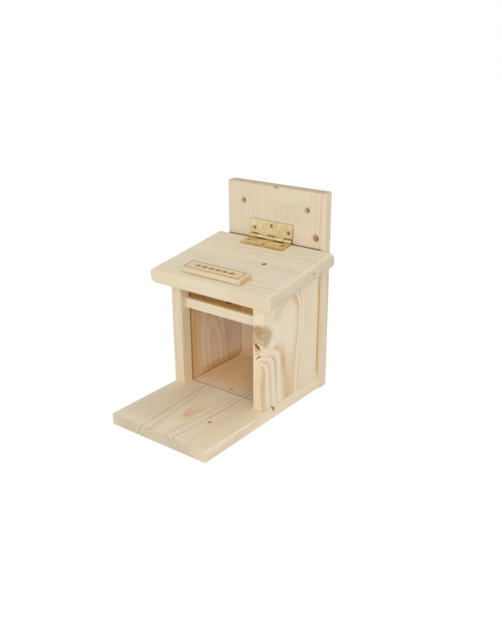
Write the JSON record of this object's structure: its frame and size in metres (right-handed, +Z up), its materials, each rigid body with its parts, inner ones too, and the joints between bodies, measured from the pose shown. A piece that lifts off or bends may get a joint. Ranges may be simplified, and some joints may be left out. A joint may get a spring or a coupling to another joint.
{
  "type": "squirrel feeder box",
  "caption": "Pine squirrel feeder: tall back board, seed chamber with a lift-up clear window behind a rail, front platform and a sloping roof on a brass butt hinge.",
  "frame": {"origin": "middle of the footprint, on the surface that the feeder stands on", "axes": "+Z up, -Y towards the front where the platform reaches out, +X to the right as seen from the front"},
  "size_m": [0.216, 0.288, 0.306],
  "materials": {
    "pine": "planed, untreated",
    "plaque_wood": "planed, untreated",
    "clear_acrylic": "polished, clear",
    "hinge_brass": "satin, brass plated",
    "screw_brass": "satin, brass plated",
    "screw_steel": "zinc plated"
  },
  "bodies": {
    "housing": {"base_board": "pine", "left_side_panel": "pine", "right_side_panel": "pine", "back_board": "pine", "front_rail": "pine", "hinge_upper_leaf": "hinge_brass", "hinge_pin": "hinge_brass", "hinge_upper_screw_1": "screw_brass", "hinge_upper_screw_2": "screw_brass", "hinge_upper_screw_3": "screw_brass", "base_screw_1": "screw_steel", "base_screw_2": "screw_steel", "base_screw_3": "screw_steel", "base_screw_4": "screw_steel", "back_screw_1": "screw_steel", "back_screw_2": "screw_steel", "back_screw_3": "screw_steel", "back_screw_4": "screw_steel", "back_screw_5": "screw_steel", "back_screw_6": "screw_steel", "rail_brad_1": "screw_steel", "rail_brad_2": "screw_steel"},
    "lid": {"roof_board": "pine", "plaque": "plaque_wood", "hinge_lower_leaf": "hinge_brass", "hinge_lower_screw_1": "screw_brass", "hinge_lower_screw_2": "screw_brass", "hinge_lower_screw_3": "screw_brass"},
    "window": {"window_pane": "clear_acrylic"}
  },
  "joints": [
    {"name": "lid_hinge", "type": "hinge", "parent": "housing", "child": "lid", "pos_m": [-0.0045, 0.1227, 0.22639], "axis": [-1, 0, 0], "range_deg": [0, 102]},
    {"name": "window_slide", "type": "slide", "parent": "housing", "child": "window", "axis": [0, 0, 1], "range_m": [0, 0.026]}
  ]
}
